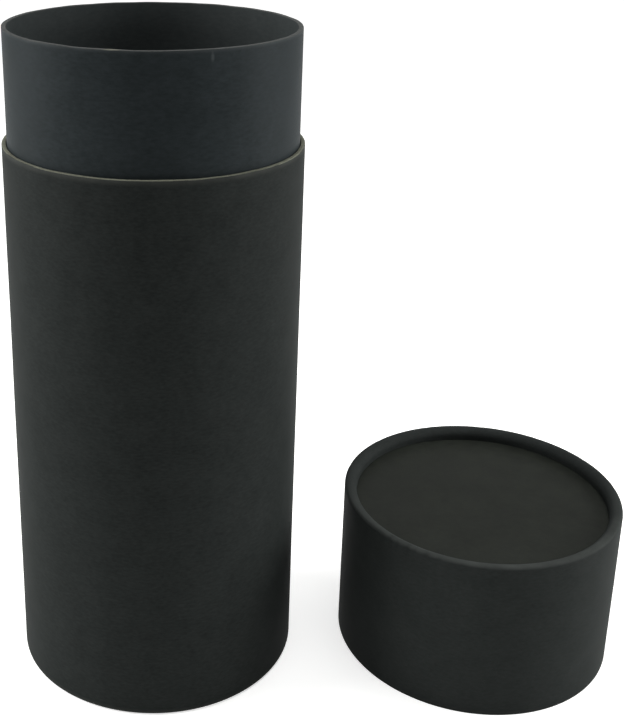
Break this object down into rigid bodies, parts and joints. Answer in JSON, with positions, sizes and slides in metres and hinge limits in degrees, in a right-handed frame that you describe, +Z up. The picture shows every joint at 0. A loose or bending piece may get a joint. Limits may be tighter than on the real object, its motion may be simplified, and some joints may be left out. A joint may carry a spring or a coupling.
{
  "type": "cardboard tube with telescoping cap",
  "caption": "Tall black cardboard tube with a projecting inner neck, and its matching cap with a rolled edge and recessed top standing beside it.",
  "frame": {"origin": "centre of the set's box, on the table that the tube and the cap stand on", "axes": "+Z up along the tube, +X from the tube to the cap standing beside it, +Y away from the viewer"},
  "size_m": [0.2028, 0.0926, 0.212],
  "materials": {
    "black_wrap": "matte",
    "black_liner": "satin",
    "black_disc": "matte"
  },
  "bodies": {
    "root": {"outer_tube": "black_wrap", "inner_tube": "black_liner", "base_disc": "black_disc", "cap_tube": "black_wrap", "cap_disc": "black_disc"}
  },
  "joints": []
}
